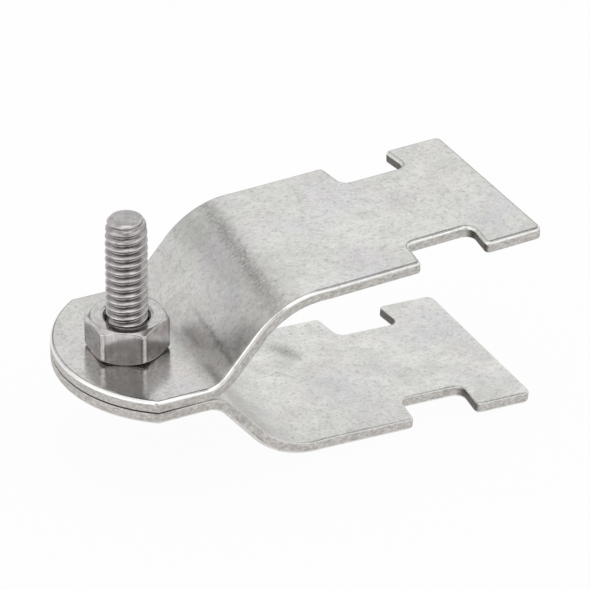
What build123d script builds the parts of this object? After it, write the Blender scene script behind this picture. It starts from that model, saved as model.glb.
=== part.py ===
from build123d import *
from math import cos, pi, radians, sin, tan
import os

# Two-piece conduit strap for strut channel: two folded sheet halves, ear on ear, a screw and a nut.
# The origin is on the conduit's axis at mid width. X runs to the hooks, Y along the conduit,
# and Z along the screw, so the ears meet on the plane Z = 0. All sizes are in millimetres.

# Sheet
sheet_thickness = 1.9
strap_width = 31.75
edge_break = 0.25

# Ear, measured from the screw's axis
ear_tip_reach = 10.7
ear_corner_reach = 2.2
screw_hole_diameter = 7.1

# Folds, with radii on the hollow side of each fold
riser_angle = 50.0
foot_fold_radius = 4.0
seat_radius = 12.1
leg_splay = 2.5
leg_fold_radius = 48.0

# Hooked end, measured along the strap
seat_to_shoulder = 4.0
notch_length = 10.9
hook_length = 9.7
neck_width = 20.2
notch_corner_radius = 1.5
shoulder_corner_radius = 0.5
hook_tip_radius = 0.6
end_corner_radius = 1.2

# Screw, quarter inch with 20 threads to the inch
screw_diameter = 6.3
screw_length = 25.4
screw_point_chamfer = 0.6
head_across_flats = 11.11
head_height = 4.0
head_face_diameter = 10.6
washer_face_height = 0.4
head_slot_width = 1.6
head_slot_depth = 1.5

# Nut
nut_across_flats = 11.11
nut_height = 5.56
nut_face_diameter = 10.8
nut_mouth_diameter = 7.6
corner_chamfer_angle = 30.0
nut_screw_clearance = 0.05
bearing_fold_clearance = 0.05

# Cutting: how far a cutter runs past what it cuts, and the turn in degrees that makes an edge a rim
cut_overrun = 2.0
rim_turn = 60.0

# Lengths of the folded line that follow from the sizes above
foot_outer_radius = foot_fold_radius + sheet_thickness
leg_outer_radius = leg_fold_radius + sheet_thickness
riser_drop = seat_radius * cos(radians(riser_angle)) - foot_outer_radius * (1 - cos(radians(riser_angle)))
riser_length = riser_drop / sin(radians(riser_angle))
riser_run = riser_length * cos(radians(riser_angle))
foot_x = -(seat_radius + foot_outer_radius) * sin(radians(riser_angle)) - riser_run
bearing_radius = max(nut_face_diameter, head_face_diameter) / 2
screw_x = foot_x - bearing_radius - bearing_fold_clearance
ear_tip_x = screw_x - ear_tip_reach
ear_corner_x = screw_x - ear_corner_reach
shoulder_x = seat_radius + seat_to_shoulder
hook_x = shoulder_x + notch_length
end_x = hook_x + hook_length

# The straight leg starts at leg_start on the sheet's inner face and runs at the splay angle
leg_start = Vector(
    leg_outer_radius * sin(radians(leg_splay)),
    seat_radius + leg_outer_radius * (1 - cos(radians(leg_splay))),
)
leg_direction = Vector(cos(radians(leg_splay)), sin(radians(leg_splay)))


def along_leg(x):
    """Distance from the start of the straight leg to the place x on its inner face."""
    return (x - leg_start.X) / leg_direction.X


def fold_line(offset):
    """Folded line of the sheet at an offset from its inner face, from the ear's tip to the leg's end."""
    crown = (0, seat_radius + offset)
    seat = JernArc(crown, (-1, 0), seat_radius + offset, riser_angle)
    riser = Line(seat @ 1, seat @ 1 + (seat % 1) * riser_length)
    foot = JernArc(riser @ 1, riser % 1, foot_outer_radius - offset, -riser_angle)
    ear = Line(foot @ 1, (ear_tip_x, offset))
    splay = JernArc(crown, (1, 0), leg_outer_radius - offset, leg_splay)
    leg = Line(splay @ 1, splay @ 1 + (splay % 1) * along_leg(end_x))
    return [ear, foot, riser, seat, splay, leg]


def folded_sheet():
    """Full-width sheet, folded to the section of one half."""
    inner = fold_line(0)
    outer = fold_line(sheet_thickness)
    tip = Line(inner[0] @ 1, outer[0] @ 1)
    end = Line(inner[-1] @ 1, outer[-1] @ 1)
    section = Plane.XZ * make_face(inner + outer + [tip, end])
    return extrude(section, strap_width / 2, both=True)


def ear_corners():
    """Waste outside the ear's rounded tip."""
    half_width = strap_width / 2
    tip = ThreePointArc((ear_corner_x, -half_width), (ear_tip_x, 0), (ear_corner_x, half_width))
    outside = Polyline(
        (ear_corner_x, half_width),
        (ear_corner_x, half_width + cut_overrun),
        (ear_tip_x - cut_overrun, half_width + cut_overrun),
        (ear_tip_x - cut_overrun, -half_width - cut_overrun),
        (ear_corner_x, -half_width - cut_overrun),
        (ear_corner_x, -half_width),
    )
    return extrude(make_face([tip, outside]), sheet_thickness + cut_overrun, both=True)


def side_notches():
    """Waste of the two side notches, square to the splayed leg."""
    leg_plane = Plane(
        origin=(leg_start.X, 0, leg_start.Y),
        x_dir=(leg_direction.X, 0, leg_direction.Y),
        z_dir=(-leg_direction.Y, 0, leg_direction.X),
    )
    notch_depth = (strap_width - neck_width) / 2
    start = along_leg(shoulder_x)
    length = along_leg(hook_x) - start
    outline = RectangleRounded(length, 2 * notch_depth, notch_corner_radius)
    sides = [leg_plane * Pos(start + length / 2, side * strap_width / 2) for side in (-1, 1)]
    return [extrude(side * outline, sheet_thickness + cut_overrun, both=True) for side in sides]


def corner_edges(half, x):
    """Edges across the sheet's thickness at the strap's sides, near the place x."""
    across = [edge for edge in half.edges() if abs(edge.length - sheet_thickness) < edge_break]
    outer = [edge for edge in across if abs(abs(edge.center().Y) - strap_width / 2) < edge_break]
    return [edge for edge in outer if abs(edge.center().X - x) < sheet_thickness / 2]


def rim_edges(half):
    """Edges where the skin of the sheet meets a cut wall."""
    faces_of = {}
    for face in half.faces():
        for edge in face.edges():
            faces_of.setdefault(edge, []).append(face)
    rims = []
    for edge, faces in faces_of.items():
        if len(faces) == 2:
            middle = edge @ 0.5
            turn = faces[0].normal_at(middle).get_angle(faces[1].normal_at(middle))
            if turn > rim_turn and abs(edge.length - sheet_thickness) > edge_break / 2:
                rims.append(edge)
    return rims


def upper_half():
    """One half: ear, foot fold, riser, conduit seat, splayed leg, neck and hooks."""
    half = folded_sheet() - ear_corners() - side_notches()
    hole = extrude(Circle(screw_hole_diameter / 2), sheet_thickness + cut_overrun, both=True)
    half -= Pos(screw_x, 0, 0) * hole
    half = fillet(corner_edges(half, shoulder_x), shoulder_corner_radius)
    half = fillet(corner_edges(half, hook_x), hook_tip_radius)
    half = fillet(corner_edges(half, end_x), end_corner_radius)
    return chamfer(rim_edges(half), edge_break)


def lower_half(upper):
    """The same pressing, turned over about the strap's length."""
    return upper.rotate(Axis.X, 180)


def across_corners(across_flats):
    """Width of a hexagon over its corners."""
    return across_flats / cos(pi / 6)


def hexagon(across_flats, height):
    """Hexagonal bar with a flat facing along X, standing on Z = 0."""
    outline = RegularPolygon(across_flats / 2, 6, major_radius=False, rotation=30)
    return extrude(outline, height)


def turned_blank(face_diameter, corner_diameter, height):
    """Round bar on Z = 0 with a cone at its lower end, which takes the corners off a hexagon."""
    cone_rise = (corner_diameter - face_diameter) / 2 * tan(radians(corner_chamfer_angle))
    outline = Polyline(
        (0, 0),
        (face_diameter / 2, 0),
        (corner_diameter / 2, cone_rise),
        (corner_diameter / 2, height),
        (0, height),
        close=True,
    )
    return revolve(Plane.XZ * make_face(outline), Axis.Z)


def screw():
    """Slotted hexagon-head screw, head below, point up, with a round washer face under the head."""
    corner_diameter = across_corners(head_across_flats)
    hexagon_height = head_height - washer_face_height
    head = hexagon(head_across_flats, hexagon_height)
    head &= turned_blank(head_face_diameter, corner_diameter, hexagon_height)
    head += extrude(Circle(head_face_diameter / 2), head_height)
    head -= Box(head_slot_width, corner_diameter + cut_overrun, 2 * head_slot_depth)
    shank = extrude(Circle(screw_diameter / 2), screw_length)
    shank = chamfer(shank.edges().sort_by(Axis.Z)[-1], screw_point_chamfer)
    return Pos(screw_x, 0, -sheet_thickness - head_height) * (head + Pos(0, 0, head_height) * shank)


def hex_nut():
    """Hexagon nut with chamfered corners and mouths, a flat turned to the fold."""
    corner_diameter = across_corners(nut_across_flats)
    bore_radius = screw_diameter / 2 + nut_screw_clearance
    blank = turned_blank(nut_face_diameter, corner_diameter, nut_height)
    nut = hexagon(nut_across_flats, nut_height) & blank & Pos(0, 0, nut_height) * Rot(180, 0, 0) * blank
    nut -= extrude(Circle(bore_radius), nut_height)
    rims = [edge for edge in nut.edges().filter_by(GeomType.CIRCLE) if edge.radius < nut_mouth_diameter / 2]
    nut = chamfer(rims, nut_mouth_diameter / 2 - bore_radius)
    return Pos(screw_x, 0, sheet_thickness) * nut


def main():
    os.makedirs("parts", exist_ok=True)
    upper = upper_half()
    parts = {
        "upper_half": upper,
        "lower_half": lower_half(upper),
        "screw": screw(),
        "hex_nut": hex_nut(),
    }
    for name, solid in parts.items():
        export_step(solid, f"parts/{name}.step")


main()
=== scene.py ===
"""Dresses the two-piece conduit strap: pressed sheet halves, a threaded screw and a hexagon nut.

Sizes inside the classes are in millimetres, and every mesh is written in metres in the frame's own axes:
+X runs along the strap to its hooks, +Y along the conduit and +Z along the screw.
"""

import logging
import math
from dataclasses import dataclass
from enum import Enum
from functools import cached_property

import bmesh
import bpy
from bmesh.types import BMEdge, BMesh, BMFace, BMVert
from bpy.types import Material, Node, NodeSocket, NodeTree, Object
from mathutils import Matrix, Vector


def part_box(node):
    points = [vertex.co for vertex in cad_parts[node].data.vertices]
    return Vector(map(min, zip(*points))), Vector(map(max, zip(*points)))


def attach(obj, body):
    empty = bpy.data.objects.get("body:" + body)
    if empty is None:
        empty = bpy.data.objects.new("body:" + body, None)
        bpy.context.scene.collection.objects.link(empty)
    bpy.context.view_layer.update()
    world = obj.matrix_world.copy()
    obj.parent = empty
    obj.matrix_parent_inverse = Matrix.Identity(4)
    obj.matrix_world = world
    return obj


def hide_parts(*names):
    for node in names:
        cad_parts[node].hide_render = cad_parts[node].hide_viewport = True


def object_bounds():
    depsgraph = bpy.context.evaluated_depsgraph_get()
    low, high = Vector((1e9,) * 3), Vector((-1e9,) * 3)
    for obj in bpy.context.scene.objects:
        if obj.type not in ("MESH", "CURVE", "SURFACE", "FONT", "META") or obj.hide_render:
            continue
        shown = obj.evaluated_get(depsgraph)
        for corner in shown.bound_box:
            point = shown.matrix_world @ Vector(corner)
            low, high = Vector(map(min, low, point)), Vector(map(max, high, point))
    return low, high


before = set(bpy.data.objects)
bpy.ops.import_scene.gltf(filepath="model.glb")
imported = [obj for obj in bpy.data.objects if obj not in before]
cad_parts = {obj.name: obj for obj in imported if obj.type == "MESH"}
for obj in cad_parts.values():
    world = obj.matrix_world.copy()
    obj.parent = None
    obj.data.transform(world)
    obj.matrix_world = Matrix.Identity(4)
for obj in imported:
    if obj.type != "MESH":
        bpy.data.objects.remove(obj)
cad_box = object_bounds()

MM = 0.001
MERGE_DISTANCE = 0.002
CUT_DISTANCE = 0.0005
WHITE = (1.0, 1.0, 1.0, 1.0)
LOG = logging.getLogger("conduit_strap")
Pair = tuple[float, float]
Place = tuple[float, float, float]
EdgeArcs = tuple[tuple[float, float, float, int], ...]
Output = tuple[Node, str | int]


def linear_rgba(hex_code: str) -> tuple[float, float, float, float]:
    """Turns an sRGB hex colour into linear red, green, blue and alpha.

    Args:
        hex_code: six hex digits with a leading hash.

    Returns:
        The linear colour with an alpha of one.
    """
    parts = [int(hex_code[place:place + 2], 16) / 255 for place in (1, 3, 5)]
    red, green, blue = [
        part / 12.92 if part <= 0.04045 else ((part + 0.055) / 1.055) ** 2.4 for part in parts
    ]
    return red, green, blue, 1.0


def find_socket(sockets: bpy.types.bpy_prop_collection, key: str | int) -> NodeSocket | None:
    """Finds a socket by its place, its identifier or its name.

    Args:
        sockets: a node's inputs or outputs.
        key: the place in the list, or the identifier, or the name.

    Returns:
        The socket, or None if the node has none of that name.
    """
    if isinstance(key, int):
        return sockets[key]
    for socket in sockets:
        if socket.identifier == key:
            return socket
    return sockets.get(key)


def add_node(
    tree: NodeTree,
    kind: str,
    settings: dict[str | int, object] | None = None,
    links: dict[str | int, Output] | None = None,
) -> Node:
    """Adds a shader node with its settings and its incoming links.

    Args:
        tree: the node tree that the node goes into.
        kind: the node's type name, without the words that all shader nodes start with.
        settings: values for the node's properties or for its input sockets.
        links: for each input socket, the node and the output socket that feed it.

    Returns:
        The new node.
    """
    node = tree.nodes.new(f"ShaderNode{kind}")
    for name, value in (settings or {}).items():
        if isinstance(name, str) and hasattr(node, name):
            setattr(node, name, value)
        else:
            find_socket(node.inputs, name).default_value = value
    for name, (source, output) in (links or {}).items():
        tree.links.new(find_socket(source.outputs, output), find_socket(node.inputs, name))
    return node


def noise_of(
    size_mm: float, detail: float, roughness: float = 0.5, distortion: float = 0.0
) -> dict[str, float]:
    """Gives the settings of a noise whose patches have a real size in millimetres."""
    return {"Scale": 1 / (size_mm * MM), "Detail": detail, "Roughness": roughness, "Distortion": distortion}


def near(
    tree: NodeTree, source: Output, centre: float, full: float, gone: float, share: float = 1.0,
    ease: str = "SMOOTHSTEP",
) -> Output:
    """Gives a share where a value lies near a centre, which fades to zero on both sides.

    Args:
        tree: the node tree.
        source: the value.
        centre: the middle of the stretch.
        full: the distance from the centre up to which the share is whole.
        gone: the distance from the centre where nothing is left.
        share: the result near the centre.
        ease: how the result fades.

    Returns:
        The share.
    """
    away = add_node(tree, "Math", {"operation": "SUBTRACT", 1: centre}, {0: source})
    apart = add_node(tree, "Math", {"operation": "ABSOLUTE"}, {0: (away, 0)})
    limits = {"interpolation_type": ease, "From Min": full, "From Max": gone, "To Min": share, "To Max": 0.0}
    return add_node(tree, "MapRange", limits, {"Value": (apart, 0)}), "Result"


def lay(tree: NodeTree, colour: Output | str, masks: list[Output], tint: str, blend: str = "MIX") -> Output:
    """Lays a tint over a colour, as strongly as the product of some masks.

    Args:
        tree: the node tree.
        colour: the colour below, or the hex code of a plain one.
        masks: the masks, of which there is at least one.
        tint: the tint's hex code.
        blend: how the tint mixes with the colour.

    Returns:
        The new colour.
    """
    shown = masks[0]
    for mask in masks[1:]:
        shown = (add_node(tree, "Math", {"operation": "MULTIPLY"}, {0: shown, 1: mask}), 0)
    settings = {"data_type": "RGBA", "blend_type": blend, "B_Color": linear_rgba(tint)}
    if isinstance(colour, str):
        plain = {"A_Color": linear_rgba(colour)}
        return add_node(tree, "Mix", settings | plain, {"Factor_Float": shown}), "Result_Color"
    return add_node(tree, "Mix", settings, {"Factor_Float": shown, "A_Color": colour}), "Result_Color"


def lay_where(
    tree: NodeTree, colour: Output | str, source: Output, reach: Pair, share: Pair, tint: str,
    blend: str = "MIX", ease: str = "LINEAR",
) -> Output:
    """Lays a tint over a colour, with a share that follows a value.

    Args:
        tree: the node tree.
        colour: the colour below, or the hex code of a plain one.
        source: the value.
        reach: the value where the share starts to change and where it stops.
        share: the tint's share at those two.
        tint: the tint's hex code.
        blend: how the tint mixes with the colour.
        ease: how the share runs between the two.

    Returns:
        The new colour.
    """
    limits = {"From Min": reach[0], "From Max": reach[1], "To Min": share[0], "To Max": share[1]}
    spread = add_node(tree, "MapRange", {"interpolation_type": ease} | limits, {"Value": source})
    return lay(tree, colour, [(spread, "Result")], tint, blend)


def close_metal(tree: NodeTree, colour: Output, rough: Output, normal: Output) -> None:
    """Ends a material as bare metal, with its colour, roughness and bumps."""
    links = {"Base Color": colour, "Roughness": rough, "Normal": normal}
    shader = add_node(tree, "BsdfPrincipled", {"Metallic": 1.0}, links)
    add_node(tree, "OutputMaterial", {}, {"Surface": (shader, "BSDF")})


def new_tree(name: str) -> tuple[Material, NodeTree]:
    """Makes a material of that name and empties its node tree."""
    material = bpy.data.materials.new(name)
    material.use_nodes = True
    material.node_tree.nodes.clear()
    return material, material.node_tree


def new_object(name: str, shape: BMesh, material: Material) -> Object:
    """Turns a bmesh in millimetres into an object in the scene.

    Args:
        name: the object's name.
        shape: the finished shape, which is freed here.
        material: the finish of the whole object.

    Returns:
        The new object, at the origin, with its place in its mesh.
    """
    shape.transform(Matrix.Scale(MM, 4))
    mesh = bpy.data.meshes.new(name)
    shape.to_mesh(mesh)
    shape.free()
    mesh.materials.append(material)
    made = bpy.data.objects.new(name, mesh)
    bpy.context.scene.collection.objects.link(made)
    return made


def new_piece(name: str, shape: BMesh, material: Material, node: str) -> Object:
    """Turns a bmesh in millimetres into a piece that stands for a node and rides on its body.

    Args:
        name: the piece's name.
        shape: the finished shape, which is freed here.
        material: the finish of the whole piece.
        node: the node, whose body has the same name.

    Returns:
        The new piece.
    """
    piece = new_object(name, shape, material)
    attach(piece, node)
    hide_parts(node)
    return piece


def cut_by_plane(shape: BMesh, place: Place, facing: Place, capped: bool = True) -> None:
    """Cuts a shape by a plane.

    Args:
        shape: the shape.
        place: a point of the plane.
        facing: the plane's normal.
        capped: whether what lies beyond the plane is taken away and the cut closed.
    """
    parts = shape.verts[:] + shape.edges[:] + shape.faces[:]
    cut = bmesh.ops.bisect_plane(
        shape, geom=parts, dist=CUT_DISTANCE, plane_co=place, plane_no=facing, clear_outer=capped
    )
    if capped:
        rim = [item for item in cut["geom_cut"] if isinstance(item, BMEdge)]
        bmesh.ops.edgeloop_fill(shape, edges=rim)


def report(piece: Object, node: str) -> None:
    """Logs a piece's triangles and how far its box is from the box of the node that it stands for.

    Args:
        piece: the finished piece.
        node: the node that it stands for.
    """
    low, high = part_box(node)
    corners = [piece.matrix_world @ Vector(corner) for corner in piece.bound_box]
    short = [round((a - b) / MM, 3) for a, b in zip(map(min, *corners), low)]
    over = [round((a - b) / MM, 3) for a, b in zip(map(max, *corners), high)]
    triangles = sum(len(polygon.vertices) - 2 for polygon in piece.data.polygons)
    offsets = f"low corner off by {short} mm, high corner by {over} mm"
    LOG.info("%s: %d triangles, %s", piece.name, triangles, offsets)


@dataclass(frozen=True)
class Cloud:
    """Patches of one colour where a noise of a real size rises from low to high."""

    size_mm: float
    colour: str
    low: float
    high: float
    share: float
    detail: float = 3.0
    distortion: float = 0.0


@dataclass(frozen=True)
class Scratches:
    """Thin curved lines where a noise crosses its middle, shown only in some patches."""

    size_mm: float
    line: float
    patch_mm: float
    gate: float
    colour: str
    share: float


@dataclass(frozen=True)
class MarkOfWearAndShade:
    """A soft dark mark on one face of the blank, of wear, and across the upper crown partly painted shade:
    its middle, slant, half sizes, strength and face.
    """

    along: float
    across: float
    slant: float
    half_along: float
    half_across: float
    share: float
    outer: bool = True


class Turn(Enum):
    """Which way up a half lies: as pressed, or turned over about the strap's length."""

    UPPER = 1
    LOWER = -1


@dataclass(frozen=True)
class SheetBlank:
    """The flat blank of one half and the line that it is folded along, measured on the sheet's inner face.

    Each rounded edge is a run of arcs, from the wall to the face: first slope, last slope, radius and steps.
    """

    thickness: float = 1.9
    width: float = 31.75
    ear_tip_reach: float = 10.7
    ear_corner_reach: float = 2.2
    hole_diameter: float = 7.1
    riser_angle: float = 50.0
    foot_fold_radius: float = 4.0
    seat_radius: float = 12.1
    leg_splay: float = 2.5
    leg_fold_radius: float = 48.0
    seat_to_shoulder: float = 4.0
    notch_length: float = 10.9
    hook_length: float = 9.7
    neck_width: float = 20.2
    notch_corner: float = 1.5
    notch_lean: float = 0.65
    shoulder_corner: float = 0.75
    hook_tip: float = 0.75
    end_corner: float = 1.2
    bearing_radius: float = 5.4
    bearing_gap: float = 0.05
    outer_edge: EdgeArcs = ((90.0, 15.0, 0.55, 7), (15.0, 0.0, 0.95, 3))
    inner_edge: EdgeArcs = ((90.0, 12.0, 0.3, 4), (12.0, 0.0, 1.0, 2))
    tip_steps: int = 28
    hole_steps: int = 24
    shoulder_steps: int = 6
    notch_steps: int = 8
    end_steps: int = 7
    fold_step: float = 2.5

    @cached_property
    def segments(self) -> list[Pair]:
        """Each stretch of the fold line, from the ear's tip on, as its length and signed curvature."""
        turn = math.radians(self.riser_angle)
        splay = math.radians(self.leg_splay)
        foot = self.foot_fold_radius + self.thickness
        leg = self.leg_fold_radius + self.thickness
        drop = self.seat_radius * math.cos(turn) - foot * (1 - math.cos(turn))
        return [
            (self.ear_tip_reach + self.bearing_radius + self.bearing_gap, 0.0),
            (foot * turn, 1 / foot),
            (drop / math.sin(turn), 0.0),
            (self.seat_radius * turn, -1 / self.seat_radius),
            (leg * splay, 1 / leg),
            (self._leg_distance(self.end_x), 0.0),
        ]

    @property
    def end_x(self) -> float:
        """Place of the leg's end along the strap."""
        return self.seat_radius + self.seat_to_shoulder + self.notch_length + self.hook_length

    @property
    def riser_foot(self) -> float:
        """Length along the blank from the ear's tip to the foot of the riser."""
        return sum(length for length, _ in self.segments[:2])

    @property
    def crown(self) -> float:
        """Length along the blank from the ear's tip to the top of the conduit seat."""
        return sum(length for length, _ in self.segments[:4])

    def _leg_distance(self, x: float) -> float:
        """Distance on the inner face from the start of the straight leg to the place x."""
        splay = math.radians(self.leg_splay)
        leg = self.leg_fold_radius + self.thickness
        return (x - leg * math.sin(splay)) / math.cos(splay)

    def along(self, x: float) -> float:
        """Length along the blank from the ear's tip to the place x on the leg."""
        return sum(length for length, _ in self.segments[:5]) + self._leg_distance(x)

    def edge_rise(self, edge: EdgeArcs) -> float:
        """Height that a rounded edge takes up in the sheet's thickness."""
        return sum(
            radius * (math.cos(math.radians(last)) - math.cos(math.radians(first)))
            for first, last, radius, _ in edge
        )

    def fold(self, along: float, offset: float) -> Pair:
        """Finds where a point of the flat blank lies once the sheet is folded.

        Args:
            along: length from the ear's tip, on the inner face.
            offset: height above the inner face.

        Returns:
            The point's X and Z in the frame.
        """
        turn = math.radians(self.riser_angle)
        foot = self.foot_fold_radius + self.thickness
        x = -(self.seat_radius + foot) * math.sin(turn)
        x -= self.segments[2][0] * math.cos(turn)
        x -= self.segments[0][0]
        z = 0.0
        heading = 0.0
        left = along
        last = len(self.segments) - 1
        for place, (length, curvature) in enumerate(self.segments):
            step = left if place == last else min(left, length)
            if curvature:
                turned = heading + step * curvature
                x += (math.sin(turned) - math.sin(heading)) / curvature
                z += (math.cos(heading) - math.cos(turned)) / curvature
                heading = turned
            else:
                x += step * math.cos(heading)
                z += step * math.sin(heading)
            left -= step
            if left <= 0:
                break
        return x - offset * math.sin(heading), z + offset * math.cos(heading)

    def _arc(self, centre: Pair, radius: float, start: float, end: float, steps: int) -> list[Pair]:
        """Points on an arc between two angles in degrees."""
        angles = [math.radians(start + (end - start) * step / steps) for step in range(steps + 1)]
        x, y = centre
        return [(x + radius * math.cos(angle), y + radius * math.sin(angle)) for angle in angles]

    def outline(self) -> list[Pair]:
        """Walks the blank's outline over the half with Y above zero, from the ear's tip to the leg's end.

        Returns:
            Points along and across the blank.
        """
        side = self.width / 2
        neck = self.neck_width / 2
        corner = self.ear_tip_reach - self.ear_corner_reach
        tip_radius = (side ** 2 + corner ** 2) / (2 * corner)
        sweep = math.degrees(math.asin(side / tip_radius))
        shoulder = self.along(self.seat_radius + self.seat_to_shoulder)
        hook = shoulder + self.notch_length / math.cos(math.radians(self.leg_splay))
        end = self.along(self.end_x)
        inner = self.notch_corner
        outer = self.shoulder_corner
        tip = self.hook_tip
        lean = math.atan(self.notch_lean / (side - neck))
        leant = math.degrees(lean)
        floor_shift = (side - neck - inner) * math.tan(lean)
        floor_start = shoulder + floor_shift + inner / math.cos(lean)
        floor_end = hook + floor_shift - inner / math.cos(lean)
        shoulder_centre = shoulder + outer * math.tan(lean) - outer / math.cos(lean)
        hook_centre = hook + tip * math.tan(lean) + tip / math.cos(lean)
        arcs = [
            ((tip_radius, 0), tip_radius, 180, 180 - sweep, self.tip_steps),
            ((shoulder_centre, side - outer), outer, 90, leant, self.shoulder_steps),
            ((floor_start, neck + inner), inner, 180 + leant, 270, self.notch_steps),
            ((floor_end, neck + inner), inner, 270, 360 + leant, self.notch_steps),
            ((hook_centre, side - tip), tip, 180 + leant, 90, self.shoulder_steps),
            ((end - self.end_corner, side - self.end_corner), self.end_corner, 90, 0, self.end_steps),
        ]
        points = [point for arc in arcs for point in self._arc(*arc)]
        return points + [(end, 0)]

    def hole_side(self) -> list[Pair]:
        """Points of the screw hole with Y above zero, from the side of the leg to the side of the tip."""
        return self._arc((self.ear_tip_reach, 0), self.hole_diameter / 2, 0, 180, self.hole_steps)

    def stations(self) -> list[float]:
        """Places along the blank where a row of points lets it bend smoothly."""
        places: list[float] = []
        start = 0.0
        for length, curvature in self.segments:
            if curvature:
                count = max(2, math.ceil(length * abs(curvature) / math.radians(self.fold_step)))
                places += [start + length * mark / count for mark in range(count + 1)]
            start += length
        return places

    def wear_and_shade_marks(self, turn: Turn) -> list[MarkOfWearAndShade]:
        """Lists the marks of handling and of the press tool on one half; those across the upper half's crown
        are also painted shade.
        """
        if turn is Turn.UPPER:
            return [
                # Across the crown: scuffing, and painted shade of the dark band that the crown mirrors
                MarkOfWearAndShade(self.crown - 5.05, 0.0, 0.09, 1.9, 40.0, 0.55),
                MarkOfWearAndShade(self.crown - 8.4, 0.0, 0.09, 4.6, 40.0, 0.15),
                MarkOfWearAndShade(self.riser_foot + 2.5, -8.5, 0.08, 0.8, 14.0, 0.6),
                MarkOfWearAndShade(self.riser_foot + 4.4, -14.0, 0.8, 1.8, 3.0, 0.4),
            ]
        return [
            MarkOfWearAndShade(self.along(6.6), -8.8, 0.3, 2.4, 4.2, 0.6, outer=False),
            MarkOfWearAndShade(self.along(3.4), -2.6, 0.7, 0.5, 3.0, 0.25, outer=False),
        ]


@dataclass(frozen=True)
class Canvas:
    """The node tree of a sheet's finish, with a point's place on the flat blank in metres.

    The pattern's place is shifted, so that no two halves look alike.
    """

    tree: NodeTree
    pattern: Output
    along: Output
    across: Output
    through: Output


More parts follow.
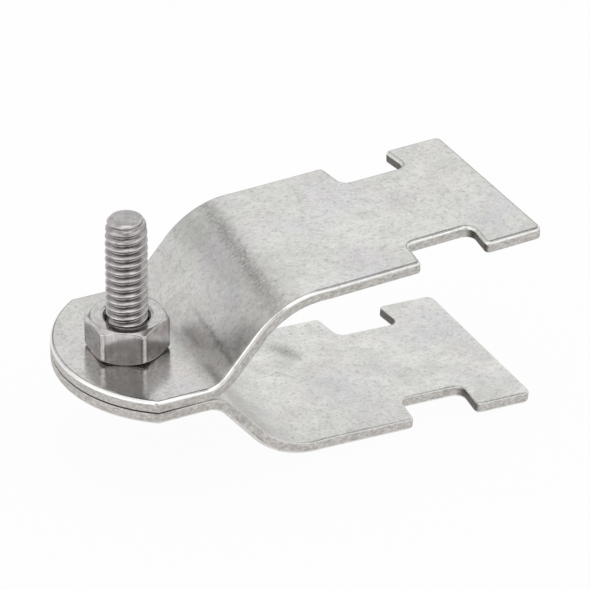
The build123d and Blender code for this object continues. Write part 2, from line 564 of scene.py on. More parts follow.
@dataclass(frozen=True)
class TumbledSheetSteel:
    """Pressed and tumbled stainless sheet: pale satin, softly mottled and scratched, with grainy walls.

    The pattern reads the attribute that holds each point's place on the flat blank, in metres:
    X along the strap, Y across it and Z through the sheet from its inner face.
    """

    name: str
    turn: Turn
    blank: SheetBlank
    shift: Place
    pale: str
    # Painted shade on the ear and the riser
    ear_shade: str = "#DBD8DA"
    wall_pale: str = "#DAD7D3"
    wall_dark: str = "#A39F9A"
    # Painted shade on the notch walls of the hooks that face the ear
    notch_wall_shade: str = "#6E6C69"
    # Dark grey of pits and wear marks, and of painted shade on the crown and above the rims
    wear_and_shade: str = "#8F8D8A"
    # Painted highlight on the rolled rims: full on the upper half as far as the crown and fading past it,
    # faint on the lower half
    rim_highlight: str = "#FDFDFB"
    rim_highlight_share: float = 0.65
    faint_rim_highlight: float = 1 / 6
    rim_highlight_fade: float = 6.0
    # Painted shade in the groove of the seam between the halves
    seam: str = "#3A3836"
    skin_roughness: float = 0.17
    pressed_roughness: float = 0.14
    wall_roughness: float = 0.5
    # The grain is finer on the real sheet, and is drawn as coarse as it needs to show
    grain_mm: float = 0.4
    roll_depth: float = 0.028
    rim_band: float = 0.35
    rim_fade: float = 0.02
    wall_fade: float = 0.22
    ragged_mm: float = 1.4
    ragged_depth: float = 1.6
    pit_spacing_mm: float = 2.4
    pit_reach: Pair = (0.05, 0.11)
    streak_mm: float = 0.7
    patch_mm: float = 4.0
    clouds: tuple[Cloud, ...] = (
        Cloud(5.0, "#D0D0CB", 0.4, 0.7, 0.8, 6.0, 0.4),
        Cloud(9.0, "#E2D9D7", 0.5, 0.66, 0.35),
        Cloud(8.0, "#D2D8D0", 0.5, 0.66, 0.35),
        Cloud(12.0, "#D9D6DF", 0.48, 0.64, 0.4),
        Cloud(1.1, "#BDBDB7", 0.5, 0.74, 0.6, 3.0, 0.5),
        Cloud(0.55, "#ABAAA4", 0.52, 0.78, 0.7, 2.0),
        Cloud(0.5, "#FAFAF8", 0.55, 0.8, 0.7, 2.0),
    )
    scratches: tuple[Scratches, ...] = (
        Scratches(2.2, 0.014, 6.0, 0.56, "#9B9C97", 0.4),
        Scratches(2.7, 0.008, 7.0, 0.54, "#F4F4F2", 0.22),
        Scratches(1.3, 0.022, 5.0, 0.6, "#A3A29E", 0.4),
    )

    def build(self) -> Material:
        """Builds the node material: the skin with its marks, the sheared wall, the roughness and bumps."""
        material, tree = new_tree(self.name)
        place = add_node(tree, "Attribute", {"attribute_name": "blank"})
        shifted = add_node(tree, "Mapping", {"Location": self.shift}, {"Vector": (place, "Vector")})
        axes = add_node(tree, "SeparateXYZ", {}, {"Vector": (place, "Vector")})
        canvas = Canvas(tree, (shifted, "Vector"), (axes, "X"), (axes, "Y"), (axes, "Z"))
        colour = self._skin(canvas)
        for coat in (self._shaded_ear, self._rolled_over, self._shaded_seam, self._scratched, self._pitted):
            colour = coat(canvas, colour)
        for wear_and_shade in self.blank.wear_and_shade_marks(self.turn):
            colour = self._worn_and_shaded(canvas, colour, wear_and_shade)
        wall = self._wall_mask(canvas)
        sides = {"Factor_Float": wall, "A_Color": colour, "B_Color": self._wall_colour(canvas)}
        whole = add_node(tree, "Mix", {"data_type": "RGBA"}, sides)
        rough, normal = self._surface(canvas, wall)
        close_metal(tree, (whole, "Result_Color"), rough, normal)
        return material

    def _skin(self, canvas: Canvas) -> Output:
        """Lays every cloud over the pale skin: shade, faint warm, green and lavender tints, and the grain.

        Args:
            canvas: the tree and the place on the blank.

        Returns:
            The colour of the skin.
        """
        colour: Output | str = self.pale
        for index, cloud in enumerate(self.clouds):
            shift = {"Location": (index * 0.31, index * 0.17, 0)}
            moved = add_node(canvas.tree, "Mapping", shift, {"Vector": canvas.pattern})
            form = noise_of(cloud.size_mm, cloud.detail, 0.6, cloud.distortion)
            noise = add_node(canvas.tree, "TexNoise", form, {"Vector": (moved, "Vector")})
            reach = (cloud.low, cloud.high)
            colour = lay_where(canvas.tree, colour, (noise, "Fac"), reach, (0.0, cloud.share), cloud.colour)
        return colour

    def _shaded_ear(self, canvas: Canvas, colour: Output) -> Output:
        """Greys the ear and the riser a little, fading out at the crown: painted shade, for the darker
        reflection that they show.
        """
        reach = ((self.blank.riser_foot + 4) * MM, (self.blank.crown + 1) * MM)
        return lay_where(
            canvas.tree, colour, canvas.along, reach, (0.5, 0.0), self.ear_shade, "MULTIPLY", "SMOOTHSTEP"
        )

    def _rolled_over(self, canvas: Canvas, colour: Output) -> Output:
        """Brightens the rolled-over rim with a painted highlight, and paints a thin line of shade above it.

        Args:
            canvas: the tree and the place on the blank.
            colour: the colour so far.

        Returns:
            The colour with the rim.
        """
        tree = canvas.tree
        line = self.blank.thickness - self.roll_depth
        band = self.rim_band
        rim = near(
            tree, canvas.through, (line - band) * MM, (band - self.rim_fade) * MM, band * MM, ease="LINEAR"
        )
        share = self.rim_highlight_share if self.turn is Turn.UPPER else self.rim_highlight_share * self.faint_rim_highlight
        fade = {
            "From Min": (self.blank.crown - self.rim_highlight_fade) * MM,
            "From Max": (self.blank.crown + self.rim_highlight_fade) * MM,
            "To Min": share,
            "To Max": share * self.faint_rim_highlight,
        }
        fading = add_node(tree, "MapRange", fade, {"Value": canvas.along})
        # Painted highlight along the rim
        bright = lay(tree, colour, [rim, (fading, "Result")], self.rim_highlight)
        depth = self.roll_depth * MM
        # Painted shade: a thin dark line just above the rim
        dull = near(tree, canvas.through, line * MM, 0.4 * depth, 0.9 * depth, 0.6)
        return lay(tree, bright, [dull], self.wear_and_shade, "MULTIPLY")

    def _shaded_seam(self, canvas: Canvas, colour: Output) -> Output:
        """Darkens the eased inner rim of the ear: painted shade in the groove of the seam between the two
        halves.

        Args:
            canvas: the tree and the place on the blank.
            colour: the colour so far.

        Returns:
            The colour with the painted shade.
        """
        spans = (
            (canvas.through, 0.002, 0.012, 0.9),
            (canvas.through, 0.24, 0.12, 1.0),
            (canvas.along, self.blank.segments[0][0], 9.0, 1.0),
        )
        masks: list[Output] = []
        for source, clear, full, share in spans:
            limits = {"From Min": clear * MM, "From Max": full * MM, "To Max": share}
            masks.append((add_node(canvas.tree, "MapRange", limits, {"Value": source}), "Result"))
        return lay(canvas.tree, colour, masks, self.seam, "MULTIPLY")

    def _scratched(self, canvas: Canvas, colour: Output) -> Output:
        """Draws each set of thin curved scratches in its own patches.

        Args:
            canvas: the tree and the place on the blank.
            colour: the colour so far.

        Returns:
            The colour with the scratches.
        """
        tree = canvas.tree
        for index, marks in enumerate(self.scratches):
            shift = {"Location": (index * 0.23, 0.4, 0)}
            moved = add_node(tree, "Mapping", shift, {"Vector": canvas.pattern})
            form = noise_of(marks.size_mm, 1.0, distortion=0.6)
            field = add_node(tree, "TexNoise", form, {"Vector": (moved, "Vector")})
            line = near(tree, (field, "Fac"), 0.5, 0.0, marks.line, marks.share, "LINEAR")
            patch = add_node(tree, "TexNoise", noise_of(marks.patch_mm, 2.0), {"Vector": (moved, "Vector")})
            limits = {"From Min": marks.gate, "From Max": marks.gate + 0.08}
            gate = add_node(tree, "MapRange", limits, {"Value": (patch, "Fac")})
            colour = lay(tree, colour, [line, (gate, "Result")], marks.colour)
        return colour

    def _pitted(self, canvas: Canvas, colour: Output) -> Output:
        """Sprinkles small dark pits, a tenth of a millimetre and up, over the skin.

        Args:
            canvas: the tree and the place on the blank.
            colour: the colour so far.

        Returns:
            The colour with the pits.
        """
        tree = canvas.tree
        spacing = {"Scale": 1 / (self.pit_spacing_mm * MM)}
        cells = add_node(tree, "TexVoronoi", spacing, {"Vector": canvas.pattern})
        floor, rim = self.pit_reach
        round_pit = {"From Min": floor, "From Max": rim, "To Min": 1.0, "To Max": 0.0}
        dot = add_node(tree, "MapRange", round_pit, {"Value": (cells, "Distance")})
        pick = add_node(tree, "SeparateXYZ", {}, {"Vector": (cells, "Color")})
        odds = {"From Min": 0.45, "From Max": 1.0, "To Max": 0.7}
        some = add_node(tree, "MapRange", odds, {"Value": (pick, "X")})
        return lay(tree, colour, [(dot, "Result"), (some, "Result")], self.wear_and_shade)

    def _worn_and_shaded(self, canvas: Canvas, colour: Output, wear_and_shade: MarkOfWearAndShade) -> Output:
        """Darkens one ragged mark on the face that carries it: wear, and across the upper crown painted shade
        too.

        Args:
            canvas: the tree and the place on the blank.
            colour: the colour so far.
            wear_and_shade: the mark.

        Returns:
            The colour with the mark.
        """
        tree = canvas.tree
        ragged = add_node(tree, "TexNoise", noise_of(self.ragged_mm, 5.0), {"Vector": canvas.pattern})
        slant = {"operation": "MULTIPLY_ADD", 1: -wear_and_shade.slant}
        slanted = add_node(tree, "Math", slant, {0: canvas.across, 2: canvas.along})
        waves = {"operation": "MULTIPLY_ADD", 1: self.ragged_depth * MM}
        wavy = add_node(tree, "Math", waves, {0: (ragged, "Fac"), 2: (slanted, 0)})
        middle = self.blank.thickness / 2 * MM
        side = {"operation": "GREATER_THAN" if wear_and_shade.outer else "LESS_THAN", 1: middle}
        face = add_node(tree, "Math", side, {0: canvas.through})
        centre = wear_and_shade.along + self.ragged_depth / 2 - wear_and_shade.slant * wear_and_shade.across
        length = near(tree, (wavy, 0), centre * MM, 0.0, wear_and_shade.half_along * MM)
        width = near(tree, canvas.across, wear_and_shade.across * MM, 0.0, wear_and_shade.half_across * MM)
        speckle = add_node(tree, "TexNoise", noise_of(self.grain_mm, 2.0), {"Vector": canvas.pattern})
        wear = {"From Min": 0.3, "From Max": 0.6, "To Min": 0.4 * wear_and_shade.share, "To Max": 1.4 * wear_and_shade.share}
        worn = add_node(tree, "MapRange", wear, {"Value": (speckle, "Fac")})
        return lay(tree, colour, [(face, 0), length, width, (worn, "Result")], self.wear_and_shade)

    def _wall_mask(self, canvas: Canvas) -> Output:
        """Gives one on the sheared wall and zero on the sheet's two faces.

        Args:
            canvas: the tree and the place on the blank.

        Returns:
            The mask.
        """
        inner = self.blank.edge_rise(self.blank.inner_edge)
        outer = self.blank.thickness - self.blank.edge_rise(self.blank.outer_edge)
        rise = {"From Min": 0.1 * inner * MM, "From Max": 0.8 * inner * MM, "To Min": 0.0, "To Max": 1.0}
        skin = outer + self.wall_fade
        drop = {"From Min": outer * MM, "From Max": skin * MM, "To Min": 1.0, "To Max": 0.0}
        ease = {"interpolation_type": "SMOOTHSTEP"}
        depth = {"Value": canvas.through}
        above, below = [add_node(canvas.tree, "MapRange", ease | limits, depth) for limits in (rise, drop)]
        masks = {0: (above, "Result"), 1: (below, "Result")}
        return add_node(canvas.tree, "Math", {"operation": "MULTIPLY"}, masks), 0

    def _wall_colour(self, canvas: Canvas) -> Output:
        """Speckles the sheared wall, and paints shade on it where a hook faces the ear, deep in the notch.

        Args:
            canvas: the tree and the place on the blank.

        Returns:
            The colour of the wall.
        """
        tree = canvas.tree
        drawn_out = add_node(tree, "Mapping", {"Scale": (1.0, 1.0, 2.0)}, {"Vector": canvas.pattern})
        form = noise_of(self.streak_mm, 5.0, 0.75)
        streak = add_node(tree, "TexNoise", form, {"Vector": (drawn_out, "Vector")})
        wall = lay_where(tree, self.wall_dark, (streak, "Fac"), (0.34, 0.66), (0.0, 1.0), self.wall_pale)
        # Painted shade on the hooks' walls that face the ear
        geometry = add_node(tree, "NewGeometry")
        facing = add_node(tree, "SeparateXYZ", {}, {"Vector": (geometry, "Normal")})
        backward = {"From Min": -0.9, "From Max": -0.4, "To Min": 0.85, "To Max": 0.0}
        to_ear = add_node(tree, "MapRange", backward, {"Value": (facing, "X")})
        hook = self.blank.along(self.blank.end_x - self.blank.hook_length - self.blank.notch_length / 2)
        at_hook = add_node(tree, "Math", {"operation": "GREATER_THAN", 1: hook * MM}, {0: canvas.along})
        return lay(tree, wall, [(to_ear, "Result"), (at_hook, 0)], self.notch_wall_shade, "MULTIPLY")

    def _surface(self, canvas: Canvas, wall: Output) -> tuple[Output, Output]:
        """Gives the roughness and the fine bumps: smooth ear, duller pressed folds and rough sheared wall.

        Args:
            canvas: the tree and the place on the blank.
            wall: the mask of the wall.

        Returns:
            The roughness and the normal.
        """
        tree = canvas.tree
        smooth = self.skin_roughness
        patchy = add_node(tree, "TexNoise", noise_of(self.patch_mm, 4.0, 0.6), {"Vector": canvas.pattern})
        satin = {"From Min": 0.3, "From Max": 0.7, "To Min": smooth - 0.04, "To Max": smooth + 0.06}
        skin = add_node(tree, "MapRange", satin, {"Value": (patchy, "Fac")})
        foot = {
            "interpolation_type": "SMOOTHSTEP",
            "From Min": (self.blank.riser_foot - 6.5) * MM,
            "From Max": (self.blank.riser_foot - 3) * MM,
            "To Max": self.pressed_roughness,
        }
        pressed = add_node(tree, "MapRange", foot, {"Value": canvas.along})
        face = add_node(tree, "Math", {"operation": "ADD"}, {0: (skin, "Result"), 1: (pressed, "Result")})
        sheared = {"data_type": "FLOAT", "B_Float": self.wall_roughness}
        rough = add_node(tree, "Mix", sheared, {"Factor_Float": wall, "A_Float": (face, 0)})
        grain = add_node(tree, "TexNoise", noise_of(self.grain_mm, 3.0, 0.6), {"Vector": canvas.pattern})
        strength = add_node(tree, "MapRange", {"To Min": 0.1, "To Max": 0.5}, {"Value": wall})
        relief = {"Height": (grain, "Fac"), "Strength": (strength, "Result")}
        bump = add_node(tree, "Bump", {"Distance": 0.1 * MM}, relief)
        return (rough, "Result_Float"), (bump, "Normal")


@dataclass(frozen=True)
class ColdFormedSteel:
    """Cold-formed stainless fastener: smooth and bright, with painted shade in grooves and on what faces
    down.
    """

    name: str
    axis_x: float
    bright: str = "#D0CDCC"
    dull: str = "#CFCBCA"
    # Painted shade in the thread's grooves and the nut's bore, and on surfaces that face down
    groove_and_underside_shade: str = "#575453"
    faced: str = "#D2D0D0"
    roughness: float = 0.22
    groove_radius: float = 2.85
    crest_radius: float = 3.08
    groove_share: float = 0.42
    bare_above: float = 100.0
    bare_fade: float = 0.2
    # The turned rings are finer on the real steel, and are drawn as coarse as they need to show
    turned_mm: float = 0.25
    wear_mm: float = 1.2

    def build(self) -> Material:
        """Builds the node material, which reads Object coordinates about the screw's axis.

        Returns:
            The material.
        """
        material, tree = new_tree(self.name)
        place = add_node(tree, "TexCoord")
        centre = {"Location": (-self.axis_x * MM, 0, 0)}
        centred = add_node(tree, "Mapping", centre, {"Vector": (place, "Object")})
        wear = add_node(tree, "TexNoise", noise_of(self.wear_mm, 5.0, 0.6), {"Vector": (centred, "Vector")})
        level = {"operation": "MULTIPLY", 1: (1, 1, 0)}
        flat = add_node(tree, "VectorMath", level, {0: (centred, "Vector")})
        radius = add_node(tree, "VectorMath", {"operation": "LENGTH"}, {0: (flat, "Vector")})
        turned = {"noise_dimensions": "1D"} | noise_of(self.turned_mm, 2.0)
        rings = add_node(tree, "TexNoise", turned, {"W": (radius, "Value")})
        upright = add_node(tree, "NewGeometry")
        axes = add_node(tree, "SeparateXYZ", {}, {"Vector": (upright, "Normal")})
        height = add_node(tree, "SeparateXYZ", {}, {"Vector": (centred, "Vector")})
        groove = (self.groove_radius * MM, self.crest_radius * MM)
        bare = (self.bare_above * MM, (self.bare_above + self.bare_fade) * MM)
        masks = (
            # The first two masks paint shade: in the grooves, and on what faces down
            ((radius, "Value"), self.groove_and_underside_shade, groove, (self.groove_share, 0.0), "MIX"),
            ((axes, "Z"), self.groove_and_underside_shade, (-0.35, 0.0), (0.6, 0.0), "MIX"),
            ((height, "Z"), self.bright, bare, (0.0, 1.0), "MIX"),
            ((axes, "Z"), self.faced, (0.93, 0.99), (0.0, 1.0), "MIX"),
            ((wear, "Fac"), self.dull, (0.35, 0.7), (0.0, 0.9), "MULTIPLY"),
            ((rings, "Fac"), self.dull, (0.5, 0.75), (0.0, 0.7), "MULTIPLY"),
        )
        colour: Output | str = self.bright
        for source, tint, reach, share, blend in masks:
            colour = lay_where(tree, colour, source, reach, share, tint, blend)
        sheen = {"To Min": self.roughness - 0.04, "To Max": self.roughness + 0.08}
        rough = add_node(tree, "MapRange", sheen, {"Value": (wear, "Fac")})
        relief = add_node(tree, "Bump", {"Strength": 0.12, "Distance": 0.05 * MM}, {"Height": (wear, "Fac")})
        close_metal(tree, colour, (rough, "Result"), (relief, "Normal"))
        return material


@dataclass
class StrapHalf:
    """One pressed half of the strap, made flat as a blank and then folded."""

    node: str
    turn: Turn
    blank: SheetBlank
    finish: TumbledSheetSteel
    hold_width: float = 0.08
    corner_merge: float = 0.001

    def _round_edge(self, shape: BMesh, faces: list[BMFace], edge: EdgeArcs) -> None:
        """Rounds the edge of a flat side by insetting it step by step while it rises.

        Args:
            shape: the blank's bmesh.
            faces: the faces of that side.
            edge: each arc of the edge as its first and last slope in degrees, its radius and its steps.
        """
        insets: list[Pair] = []
        for first, last, radius, steps in edge:
            slopes = [math.radians(first + (last - first) * step / steps) for step in range(steps + 1)]
            insets += [
                (radius * (math.sin(before) - math.sin(after)), radius * (math.cos(after) - math.cos(before)))
                for before, after in zip(slopes, slopes[1:])
            ]
        for thickness, depth in insets + [(self.hold_width, 0.0)]:
            bmesh.ops.inset_region(
                shape, faces=faces, thickness=thickness, depth=depth, use_even_offset=True, use_boundary=True
            )

    def _flat_blank(self) -> BMesh:
        """Cuts the blank with its hole, thickens it and rounds both edges.

        Returns:
            The flat blank in its own bmesh.
        """
        shape = bmesh.new()
        floor = self.blank.edge_rise(self.blank.inner_edge)
        core = self.blank.thickness - self.blank.edge_rise(self.blank.outer_edge) - floor
        outline = self.blank.outline() + self.blank.hole_side()
        for side in (1, -1):
            corners = [shape.verts.new((along, side * across, floor)) for along, across in outline]
            shape.faces.new(corners if side < 0 else corners[::-1])
        bmesh.ops.remove_doubles(shape, verts=shape.verts[:], dist=self.corner_merge)
        bmesh.ops.recalc_face_normals(shape, faces=shape.faces[:])
        raised = bmesh.ops.extrude_face_region(shape, geom=shape.faces[:])
        top = [item for item in raised["geom"] if isinstance(item, BMFace)]
        top_corners = [item for item in raised["geom"] if isinstance(item, BMVert)]
        bmesh.ops.translate(shape, vec=(0, 0, core), verts=top_corners)
        bmesh.ops.recalc_face_normals(shape, faces=shape.faces[:])
        raised_faces = set(top)
        bottom = [
            face for face in shape.faces
            if face not in raised_faces
            and all(abs(corner.co.z - floor) < self.corner_merge for corner in face.verts)
        ]
        self._round_edge(shape, top, self.blank.outer_edge)
        self._round_edge(shape, bottom, self.blank.inner_edge)
        return shape

    def _fold(self, shape: BMesh) -> None:
        """Cuts the rows that let the blank bend, notes each point's place on it and folds it."""
        for place in self.blank.stations():
            cut_by_plane(shape, (place, 0, 0), (1, 0, 0), capped=False)
        many_sided = [face for face in shape.faces if len(face.verts) > 4]
        bmesh.ops.triangulate(shape, faces=many_sided, ngon_method="BEAUTY")
        layer = shape.verts.layers.float_vector.new("blank")
        for corner in shape.verts:
            along, across, offset = corner.co
            corner[layer] = (along * MM, across * MM, offset * MM)
            x, z = self.blank.fold(along, offset)
            corner.co = (x, across * self.turn.value, z * self.turn.value)

    def build(self) -> Object:
        """Builds the half, which stands for its node.

        Returns:
            The finished piece.
        """
        shape = self._flat_blank()
        self._fold(shape)
        bmesh.ops.recalc_face_normals(shape, faces=shape.faces[:])
        for face in shape.faces:
            face.smooth = True
        return new_piece(f"{self.node}_sheet", shape, self.finish.build(), self.node)


@dataclass(frozen=True)
class ThreadForm:
    """Unified inch thread, a quarter inch with 20 threads to the inch."""

    pitch: float = 1.27
    crest_radius: float = 3.12
    root_radius: float = 2.42
    crest_share: float = 0.16
    root_share: float = 0.2
    corner_ease: float = 0.04
    steps_in_turn: int = 72

    def profile(self) -> list[Pair]:
        """Walks one pitch from the middle of a root to the middle of the next.

        Returns:
            Pairs of radius and height, with the corners of the crest and the root eased.
        """
        crest = self.crest_share / 2
        root = self.root_share / 2
        ease = self.corner_ease
        rise = self.crest_radius - self.root_radius
        marks = [
            (0.0, 0.0),
            (root - ease / 2, 0.02),
            (root + ease, 0.14),
            (0.5 - crest - ease, 0.88),
            (0.5 - crest + ease / 2, 0.985),
            (0.5, 1.0),
        ]
        mirrored = [(1 - place, share) for place, share in reversed(marks[:-1])]
        return [(self.root_radius + rise * share, self.pitch * place) for place, share in marks + mirrored]


@dataclass
class MachineScrew:
    """Slotted hexagon-head screw, threaded from its head to its point."""

    node: str
    finish: ColdFormedSteel
    axis_x: float
    thread: ThreadForm
    sheet_thickness: float = 1.9
    point_face_radius: float = 2.35
    point_cone: float = 45.0
    first_turn_radius: float = 2.62
    full_turn_depth: float = 1.2
    head_edge_round: float = 0.07
    head_cut_depth: float = 0.01
    flat_turn: float = 1.0
    sharp_turn: float = 35.0
    overlap: float = 0.3

    def _thread(self, low: float, high: float) -> BMesh:
        """Sweeps the thread's profile along a helix and cuts it off flat at both ends.

        Args:
            low: height of the lower end.
            high: height of the upper end.

        Returns:
            The closed shank in its own bmesh, on the screw's axis.
        """
        shape = bmesh.new()
        form = self.thread
        turns = math.ceil((high - low) / form.pitch) + 2
        start = low - form.pitch
        corners = [shape.verts.new((radius, 0, start + height)) for radius, height in form.profile()]
        edges = [shape.edges.new(pair) for pair in zip(corners, corners[1:])]
        bmesh.ops.spin(
            shape,
            geom=corners + edges,
            cent=(0, 0, 0),
            axis=(0, 0, 1),
            dvec=(0, 0, form.pitch / form.steps_in_turn),
            angle=math.tau * turns,
            steps=turns * form.steps_in_turn,
            use_merge=False,
        )
        bmesh.ops.remove_doubles(shape, verts=shape.verts[:], dist=MERGE_DISTANCE)
        for face in shape.faces:
            face.smooth = True
        for height, upward in ((high, 1), (low, -1)):
            cut_by_plane(shape, (0, 0, height), (0, 0, upward))
        return shape

    def _point(self, shape: BMesh, top: float) -> None:
        """Turns the point's cone and tapers the first turns by drawing in what stands outside them.

        Args:
            shape: the shank, on the screw's axis.
            top: height of the point's face.
        """
        slope = 1 / math.tan(math.radians(self.point_cone))
        missing = self.thread.crest_radius - self.first_turn_radius
        for corner in shape.verts:
            depth = top - corner.co.z
            taper = self.thread.crest_radius - missing * math.exp(-depth / self.full_turn_depth)
            limit = min(self.point_face_radius + depth * slope, taper)
            reach = math.hypot(corner.co.x, corner.co.y)
            if reach > limit:
                corner.co.x *= limit / reach
                corner.co.y *= limit / reach

    def _head(self, bearing: float) -> BMesh:
        """Takes the head from the node's own solid and eases its edges.

        Args:
            bearing: height of the face under the head.

        Returns:
            The closed head in its own bmesh, in its place.
        """
        head = bmesh.new()
        head.from_mesh(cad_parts[self.node].data)
        head.transform(Matrix.Scale(1 / MM, 4))
        bmesh.ops.remove_doubles(head, verts=head.verts[:], dist=MERGE_DISTANCE)
        cut_by_plane(head, (0, 0, bearing - self.head_cut_depth), (0, 0, 1))
        bmesh.ops.dissolve_limit(
            head,
            angle_limit=math.radians(self.flat_turn),
            use_dissolve_boundaries=False,
            verts=head.verts[:],
            edges=head.edges[:],
        )
        limit = math.radians(self.sharp_turn)
        bmesh.ops.bevel(
            head,
            geom=[edge for edge in head.edges if edge.is_manifold and edge.calc_face_angle(0) > limit],
            offset=self.head_edge_round,
            affect="EDGES",
            segments=2,
            profile=0.5,
            material=-1,
            clamp_overlap=True,
        )
        return head

    def build(self) -> Object:
        """Builds the screw, which stands for its node.

        Returns:
            The finished piece.
        """
        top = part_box(self.node)[1].z / MM
        bearing = -self.sheet_thickness
        shape = self._thread(bearing - self.overlap, top)
        self._point(shape, top)
        bmesh.ops.translate(shape, vec=(self.axis_x, 0, 0), verts=shape.verts[:])
        bmesh.ops.recalc_face_normals(shape, faces=shape.faces[:])
        head = self._head(bearing)
        bmesh.ops.recalc_face_normals(head, faces=head.faces[:])
        merged = bpy.data.meshes.new("head_form")
        head.to_mesh(merged)
        head.free()
        shape.from_mesh(merged)
        bpy.data.meshes.remove(merged)
        return new_piece("machine_screw", shape, self.finish.build(), self.node)


@dataclass
class HexNut:
    """Hexagon nut with cone-cut corners, rounded edges and a threaded mouth.

    The mouth is pairs of radius and depth below the face, and the side angles are degrees from a corner.
    """

    node: str
    finish: ColdFormedSteel
    axis_x: float
    across_flats: float = 11.11
    face_diameter: float = 10.8
    cone_angle: float = 30.0
    corner_round: float = 0.8
    edge_round: float = 0.16
    mouth: tuple[Pair, ...] = (
        (3.2, 1.2), (3.24, 1.0), (3.5, 0.86), (3.5, 0.78), (3.26, 0.62), (3.28, 0.54),
        (3.62, 0.36), (3.62, 0.3), (3.45, 0.22), (3.47, 0.16), (3.76, 0.03), (3.82, 0.0),
    )
    face_rings: tuple[Pair, ...] = ((4.1, 0.0), (4.7, 0.0))
    cone_ring: float = 0.3
    side_ring: float = 0.25
    side_angles: tuple[float, ...] = (4.8, 7.5, 12.0, 17.5, 24.0)
    corner_steps: int = 8
    edge_steps: int = 3

    @property
    def _corner_centre(self) -> float:
        """Distance from the axis to the middle of a rounded corner."""
        return (self.across_flats / 2 - self.corner_round) / math.cos(math.pi / 6)

    def _angles(self) -> list[float]:
        """Angles of the points of one ring, close together at the hexagon's corners."""
        turned = [math.pi / 6 * (2 * step / self.corner_steps - 1) for step in range(self.corner_steps + 1)]
        size = self.corner_round
        corner = [
            math.atan2(size * math.sin(turn), self._corner_centre + size * math.cos(turn))
            for turn in turned
        ]
        sides = [math.radians(angle) for angle in self.side_angles]
        sixth = [-math.pi / 6] + [-angle for angle in reversed(sides)] + corner + sides
        return [math.pi / 3 * place + math.pi / 6 + angle for place in range(6) for angle in sixth]

    def _reach(self, angle: float) -> float:
        """Distance from the axis to the hexagon's side or its rounded corner."""
        from_corner = angle % (math.pi / 3) - math.pi / 6
        across = self._corner_centre * math.sin(from_corner)
        along = self._corner_centre + self.corner_round * math.cos(math.pi / 6)
        if abs(from_corner) < math.atan2(self.corner_round / 2, along):
            rounded = math.sqrt(self.corner_round ** 2 - across ** 2)
            return self._corner_centre * math.cos(from_corner) + rounded
        return self.across_flats / 2 / math.cos(math.pi / 6 - abs(from_corner))

    def _half_profile(self, angle: float) -> list[Pair]:
        """Walks the nut's section at one angle from its bore to half its height outside.

        Args:
            angle: the angle about the nut's axis.

        Returns:
            Pairs of radius and depth below the nearer face.
        """
        face = self.face_diameter / 2
        reach = self._reach(angle)
        cone = reach - face
        drop = cone * math.tan(math.radians(self.cone_angle))
        size = self.edge_round
        early, late = self.cone_ring, 1 - self.cone_ring
        corners = (
            ((face - size, 0.0), (face, 0.0), (face + cone * early, drop * early)),
            ((face + cone * late, drop * late), (reach, drop), (reach, drop + size)),
        )
        points = [*self.mouth, *self.face_rings]
        for corner in corners:
            for step in range(self.edge_steps + 1):
                share = step / self.edge_steps
                weights = ((1 - share) ** 2, 2 * share * (1 - share), share ** 2)
                points.append(tuple(sum(a * b for a, b in zip(weights, axis)) for axis in zip(*corner)))
        return points + [(reach, drop + size + self.side_ring)]

    def _skin(self, low: float, high: float) -> BMesh:
        """Grows the nut ring by ring from the bore, over the top, down the sides and back to the bore.

        Args:
            low: height of the lower face.
            high: height of the upper face.

        Returns:
            The closed nut in its own bmesh, on its axis.
        """
        angles = self._angles()
        halves = [self._half_profile(angle) for angle in angles]
        upper = [[(radius, high - depth) for radius, depth in half] for half in halves]
        lower = [[(radius, low + depth) for radius, depth in reversed(half)] for half in halves]
        sections = [top + bottom for top, bottom in zip(upper, lower)]
        shape = bmesh.new()
        ring = bmesh.ops.create_circle(shape, segments=len(angles), radius=1.0)["verts"]
        for corner, angle, section in zip(ring, angles, sections):
            corner.co = (section[0][0] * math.cos(angle), section[0][0] * math.sin(angle), section[0][1])
        first_edges = edges = list({edge for corner in ring for edge in corner.link_edges})
        by_angle = {round(angle % math.tau, 5): section for angle, section in zip(angles, sections)}
        for place in range(1, len(sections[0])):
            grown = bmesh.ops.extrude_edge_only(shape, edges=edges)["geom"]
            ring = {item for item in grown if isinstance(item, BMVert)}
            edges = [item for item in grown if isinstance(item, BMEdge) and ring.issuperset(item.verts)]
            for corner in ring:
                angle = math.atan2(corner.co.y, corner.co.x)
                nearest = min(by_angle, key=lambda known: abs((known - angle + math.pi) % math.tau - math.pi))
                radius, height = by_angle[nearest][place]
                corner.co = (radius * math.cos(angle), radius * math.sin(angle), height)
        bmesh.ops.bridge_loops(shape, edges=first_edges + edges)
        return shape

    def build(self) -> Object:
        """Builds the nut, which stands for its node.

        Returns:
            The finished piece.
        """
        low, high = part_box(self.node)
        shape = self._skin(low.z / MM, high.z / MM)
        bmesh.ops.recalc_face_normals(shape, faces=shape.faces[:])
        bmesh.ops.translate(shape, vec=(self.axis_x, 0, 0), verts=shape.verts[:])
        for face in shape.faces:
            face.smooth = True
        return new_piece("hexagon_nut", shape, self.finish.build(), self.node)


@dataclass(frozen=True)
class Panel:
    """One lit or unlit stretch of the studio's surround, as bare metal mirrors it."""

    azimuth: Pair
    elevation: Pair
    level: float
    soft: float = 5.0


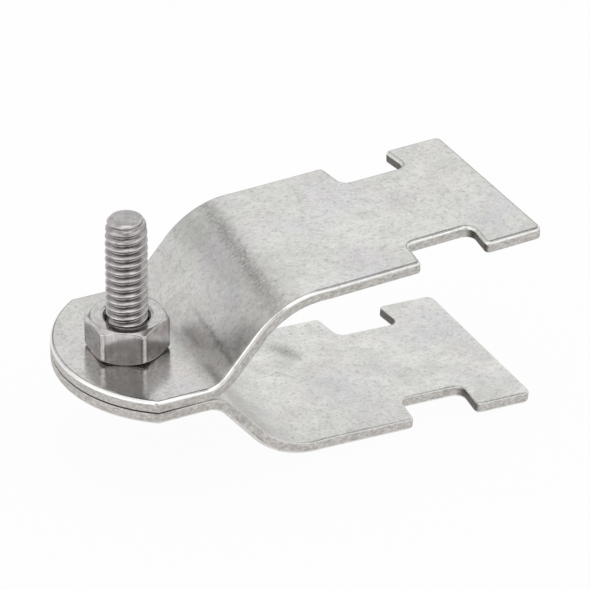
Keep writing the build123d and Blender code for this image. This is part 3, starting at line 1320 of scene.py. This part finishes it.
@dataclass
class Studio:
    """White table, soft overhead lamp, a surround of lit and unlit panels and the camera.

    Azimuths of the panels turn from +Y towards +X, and elevations rise from the table, both in degrees.
    """

    floor_z: float
    target: Place = (3.58, 0.0, 3.55)
    azimuth: float = -27.63
    elevation: float = 31.14
    roll: float = 1.33
    distance: float = 444.2
    lens: float = 180.4
    panels: tuple[Panel, ...] = (
        Panel((-75.0, -12.0), (-10.0, 30.0), 0.93, 12.0),
        Panel((-20.0, 16.0), (37.5, 44.0), 0.8, 3.0),
        Panel((-38.0, -14.0), (23.0, 38.0), 0.72, 8.0),
        Panel((28.0, 80.0), (41.0, 63.0), 0.3, 5.0),
        Panel((60.0, 138.0), (48.0, 72.0), 0.35, 6.0),
        Panel((10.0, 50.0), (-5.0, 15.0), 0.8, 6.0),
        Panel((-148.0, -62.0), (2.0, 38.0), 1.5, 6.0),
        Panel((-20.0, 10.0), (15.0, 30.0), 0.45, 5.0),
        Panel((122.0, 192.0), (25.0, 41.0), 1.6, 5.0),
        Panel((-192.0, -168.0), (25.0, 41.0), 1.6, 5.0),
        Panel((-168.0, -138.0), (0.0, 48.0), 0.45, 10.0),
        Panel((-192.0, -120.0), (53.0, 72.0), 1.8, 5.0),
        Panel((158.0, 192.0), (53.0, 72.0), 1.6, 5.0),
        Panel((-190.0, 190.0), (76.0, 104.0), 1.2, 6.0),
    )
    gap_centre: Place = (-22.0, 92.0, 88.0)
    gap_size: Pair = (70.0, 8.0)
    gap_turn: float = -20.7
    gap_level: float = 0.45
    table_half_size: float = 4000.0
    table_colour: str = "#F4F4F4"
    table_glow: float = 0.95
    ambient_level: float = 0.75
    lamp_place: Place = (50.0, 50.0, 700.0)
    lamp_size: float = 340.0
    lamp_watts: float = 0.6

    def place_camera(self) -> Object:
        """Makes the camera at the photograph's viewing angle.

        Returns:
            The camera object.
        """
        turned, raised = math.radians(self.azimuth), math.radians(self.elevation)
        level = math.cos(raised)
        back = Vector((math.sin(turned) * level, -math.cos(turned) * level, math.sin(raised)))
        right = Vector((math.cos(turned), math.sin(turned), 0))
        up = back.cross(right)
        angle = math.radians(self.roll)
        rolled_right = math.cos(angle) * right + math.sin(angle) * up
        rolled_up = math.cos(angle) * up - math.sin(angle) * right
        data = bpy.data.cameras.new("camera")
        data.lens = self.lens
        data.sensor_width = 36.0
        data.clip_start = 0.01
        data.clip_end = 10.0
        camera = bpy.data.objects.new("camera", data)
        bpy.context.scene.collection.objects.link(camera)
        turn = Matrix((rolled_right, rolled_up, back)).transposed().to_4x4()
        camera.matrix_world = Matrix.Translation((Vector(self.target) + back * self.distance) * MM) @ turn
        bpy.context.scene.camera = camera
        return camera

    def place_gap(self) -> Object:
        """Hangs the narrow grey strip behind the strap that its folds mirror as a dark band.

        Returns:
            The strip, which only mirrored rays see.
        """
        shape = bmesh.new()
        bmesh.ops.create_grid(shape, x_segments=1, y_segments=1, size=0.5)
        centre = Vector(self.gap_centre)
        facing = centre.to_track_quat("Z", "Y").to_matrix().to_4x4()
        level = Matrix.Rotation(math.radians(self.gap_turn), 4, "Z")
        size = Matrix.Diagonal((*self.gap_size, 1, 1))
        shape.transform(Matrix.Translation(centre) @ facing @ level @ size)
        material, tree = new_tree("unlit_gap")
        grey = (self.gap_level, self.gap_level, self.gap_level, 1.0)
        glow = add_node(tree, "Emission", {"Color": grey, "Strength": 1.0})
        add_node(tree, "OutputMaterial", {}, {"Surface": (glow, "Emission")})
        strip = new_object("gap_strip", shape, material)
        strip.visible_camera = False
        strip.visible_shadow = False
        strip.visible_diffuse = False
        return strip

    def place_floor(self) -> Object:
        """Lays the white table, which keeps a faint shadow.

        Returns:
            The table.
        """
        shape = bmesh.new()
        bmesh.ops.create_grid(shape, x_segments=1, y_segments=1, size=self.table_half_size)
        bmesh.ops.translate(shape, vec=(0, 0, self.floor_z), verts=shape.verts[:])
        # Matt white paint, which glows for the camera alone, so that it shows white and keeps a shadow
        material, tree = new_tree("matt_white_table")
        matt = add_node(tree, "BsdfDiffuse", {"Color": linear_rgba(self.table_colour)})
        glow = add_node(tree, "Emission", {"Color": WHITE}, {"Strength": self._seen(tree)})
        shades = {1: (matt, "BSDF"), 2: (glow, "Emission")}
        both = add_node(tree, "MixShader", {"Fac": self.table_glow}, shades)
        add_node(tree, "OutputMaterial", {}, {"Surface": (both, "Shader")})
        table = new_object("table", shape, material)
        return table

    def _seen(self, tree: NodeTree) -> Output:
        """Gives one for camera, mirrored and transmitted rays, and zero for light that falls on things."""
        ray = add_node(tree, "LightPath")
        seen: Output = (ray, "Is Camera Ray")
        for kind in ("Is Glossy Ray", "Is Transmission Ray"):
            seen = (add_node(tree, "Math", {"operation": "MAXIMUM"}, {0: seen, 1: (ray, kind)}), 0)
        return seen

    def _surround(self, tree: NodeTree) -> Output:
        """Works out how bright the surround is in the direction of a mirrored ray.

        Args:
            tree: the world's node tree.

        Returns:
            The level, which is one where no panel lies.
        """
        way = add_node(tree, "TexCoord")
        axes = add_node(tree, "SeparateXYZ", {}, {"Vector": (way, "Generated")})
        azimuth = add_node(tree, "Math", {"operation": "ARCTAN2"}, {0: (axes, "X"), 1: (axes, "Y")})
        elevation = add_node(tree, "Math", {"operation": "ARCSINE"}, {0: (axes, "Z")})
        level: Output | None = None
        for panel in self.panels:
            masks: list[Output] = []
            for source, (low, high) in ((azimuth, panel.azimuth), (elevation, panel.elevation)):
                full, gone = [math.radians((high - low + soft) / 2) for soft in (-panel.soft, panel.soft)]
                masks.append(near(tree, (source, 0), math.radians((low + high) / 2), full, gone))
            both = add_node(tree, "Math", {"operation": "MULTIPLY"}, dict(enumerate(masks)))
            below = {"A_Float": level} if level else {}
            shades = {"data_type": "FLOAT", "A_Float": 1.0, "B_Float": panel.level}
            level = (add_node(tree, "Mix", shades, {"Factor_Float": (both, 0)} | below), "Result_Float")
        return level

    def light(self) -> None:
        """Sets the white surround with its panels and the soft lamp overhead."""
        world = bpy.data.worlds.new("studio")
        bpy.context.scene.world = world
        world.use_nodes = True
        tree = world.node_tree
        tree.nodes.clear()
        ray = add_node(tree, "LightPath")
        ambient = {"To Min": self.ambient_level, "To Max": 1.0}
        plain = add_node(tree, "MapRange", ambient, {"Value": self._seen(tree)})
        levels = {
            "Factor_Float": (ray, "Is Glossy Ray"),
            "A_Float": (plain, "Result"),
            "B_Float": self._surround(tree),
        }
        level = add_node(tree, "Mix", {"data_type": "FLOAT"}, levels)
        back = add_node(tree, "Background", {"Color": WHITE}, {"Strength": (level, "Result_Float")})
        add_node(tree, "OutputWorld", {}, {"Surface": (back, "Background")})
        data = bpy.data.lights.new("overhead_lamp", "AREA")
        data.shape = "SQUARE"
        data.size = self.lamp_size * MM
        data.energy = self.lamp_watts
        lamp = bpy.data.objects.new("overhead_lamp", data)
        bpy.context.scene.collection.objects.link(lamp)
        lamp.location = Vector(self.lamp_place) * MM
        lamp.visible_glossy = False
        lamp.rotation_mode = "QUATERNION"
        lamp.rotation_quaternion = lamp.location.to_track_quat("Z", "Y")


def main() -> None:
    """Builds the strap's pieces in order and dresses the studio."""
    logging.basicConfig(level=logging.INFO, format="%(name)s: %(message)s")
    screw_low, screw_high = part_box("screw")
    axis_x = (screw_low.x + screw_high.x) / 2 / MM
    blank = SheetBlank()
    halves = (
        ("upper_half", Turn.UPPER, (0.11, 0.077, 0), "#E7E7E3"),
        ("lower_half", Turn.LOWER, (0.37, 0.259, 0), "#EDEDE9"),
    )
    for node, turn, shift, pale in halves:
        finish = TumbledSheetSteel(f"tumbled_sheet_{node}", turn, blank, shift, pale)
        report(StrapHalf(node, turn, blank, finish).build(), node)
    bare_tip = 0.75
    bare_above = screw_high.z / MM - bare_tip
    screw_finish = ColdFormedSteel("cold_formed_screw", axis_x, bare_above=bare_above, faced="#C0BEBE")
    report(MachineScrew("screw", screw_finish, axis_x, ThreadForm()).build(), "screw")
    nut_finish = ColdFormedSteel(
        "cold_formed_nut", axis_x, roughness=0.12, groove_radius=3.1, crest_radius=3.8
    )
    report(HexNut("hex_nut", nut_finish, axis_x).build(), "hex_nut")
    studio = Studio(floor_z=cad_box[0].z / MM)
    studio.place_floor()
    studio.light()
    studio.place_gap()
    studio.place_camera()
    bpy.context.scene.view_settings.view_transform = "Standard"


if __name__ == "__main__":
    main()
